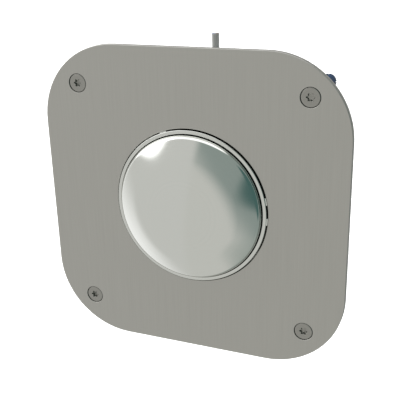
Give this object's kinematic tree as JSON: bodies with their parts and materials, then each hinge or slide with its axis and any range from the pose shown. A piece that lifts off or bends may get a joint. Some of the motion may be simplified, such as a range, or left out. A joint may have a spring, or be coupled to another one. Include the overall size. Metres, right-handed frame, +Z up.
{
  "type": "pedestrian push button",
  "caption": "Square stainless push button panel for a pedestrian crossing: polished domed button in a bezel ring, with return spring, stem and lever microswitch behind, and wall plugs.",
  "frame": {"origin": "centre of the face plate's back face, on the button's axis", "axes": "+Z up, +Y into the wall along the button's axis (the way the button is pressed), +X to the right seen from the front"},
  "size_m": [0.125, 0.0657, 0.126],
  "materials": {
    "brushed_plate": "vertically brushed stainless steel",
    "polished_steel": "polished stainless steel",
    "turned_steel": "turned stainless steel",
    "zinc_steel": "zinc-plated steel",
    "spring_steel": "bright spring steel",
    "brass": "tinned brass",
    "blue_nylon": "moulded blue nylon",
    "black_nylon": "moulded black nylon",
    "white_acetal": "natural white acetal",
    "black_rubber": "matt black rubber",
    "switch_case": "moulded dark grey thermoset",
    "red_plunger": "moulded red plastic",
    "grey_sheath": "grey cable sheath",
    "brown_core": "brown core insulation",
    "blue_core": "blue core insulation",
    "red_sleeve": "red connector insulation"
  },
  "bodies": {
    "panel": {"face_plate": "brushed_plate", "fixing_screw_1": "turned_steel", "fixing_screw_2": "turned_steel", "fixing_screw_3": "turned_steel", "fixing_screw_4": "turned_steel", "wall_plug_1": "blue_nylon", "wall_plug_2": "blue_nylon", "wall_plug_3": "blue_nylon", "wall_plug_4": "blue_nylon", "plate_gasket": "black_rubber", "bezel_ring": "polished_steel", "guide_liner": "white_acetal", "flange_seal": "black_rubber", "weld_stud_1": "turned_steel", "weld_stud_2": "turned_steel", "weld_stud_3": "turned_steel", "weld_stud_4": "turned_steel", "spacer_tube_1": "zinc_steel", "spacer_tube_2": "zinc_steel", "spacer_tube_3": "zinc_steel", "spacer_tube_4": "zinc_steel", "flange_nut_1": "zinc_steel", "flange_nut_2": "zinc_steel", "flange_nut_3": "zinc_steel", "flange_nut_4": "zinc_steel", "rear_spider": "black_nylon", "stem_bush": "white_acetal", "return_spring": "spring_steel", "switch_case": "switch_case", "lever_pin": "spring_steel", "terminal_common": "brass", "terminal_closed": "brass", "terminal_open": "brass", "switch_bracket": "zinc_steel", "bracket_screw_1": "zinc_steel", "bracket_screw_2": "zinc_steel", "switch_screw_1": "zinc_steel", "switch_screw_2": "zinc_steel", "switch_nut_1": "zinc_steel", "switch_nut_2": "zinc_steel", "lead_clip": "black_nylon", "clip_screw": "zinc_steel", "lead": "grey_sheath", "core_open": "brown_core", "core_common": "blue_core", "flag_connector_1": "red_sleeve", "flag_connector_2": "red_sleeve"},
    "button": {"button_cap": "polished_steel", "wiper_ring": "black_rubber", "button_stem": "turned_steel", "stop_washer": "black_nylon", "stem_clip": "spring_steel"},
    "lever": {"switch_lever": "spring_steel"},
    "plunger": {"switch_plunger": "red_plunger"}
  },
  "joints": [
    {"name": "press", "type": "slide", "parent": "panel", "child": "button", "axis": [0, 1, 0], "range_m": [0, 0.003], "stiffness_N_per_m": 1900, "springref_m": -0.004, "deforming": ["return_spring"]},
    {"name": "lever_swing", "type": "hinge", "parent": "panel", "child": "lever", "pos_m": [0, 0.0253, -0.016], "axis": [-1, 0, 0], "range_deg": [0, 10.7]},
    {"name": "plunger_slide", "type": "slide", "parent": "panel", "child": "plunger", "axis": [0, 1, 0], "range_m": [0, 0.00102]}
  ],
  "couplings": [
    {"joint": "lever_swing", "follows": "press", "rad_per_m": 62.06},
    {"joint": "plunger_slide", "follows": "press", "ratio": 0.3372}
  ]
}
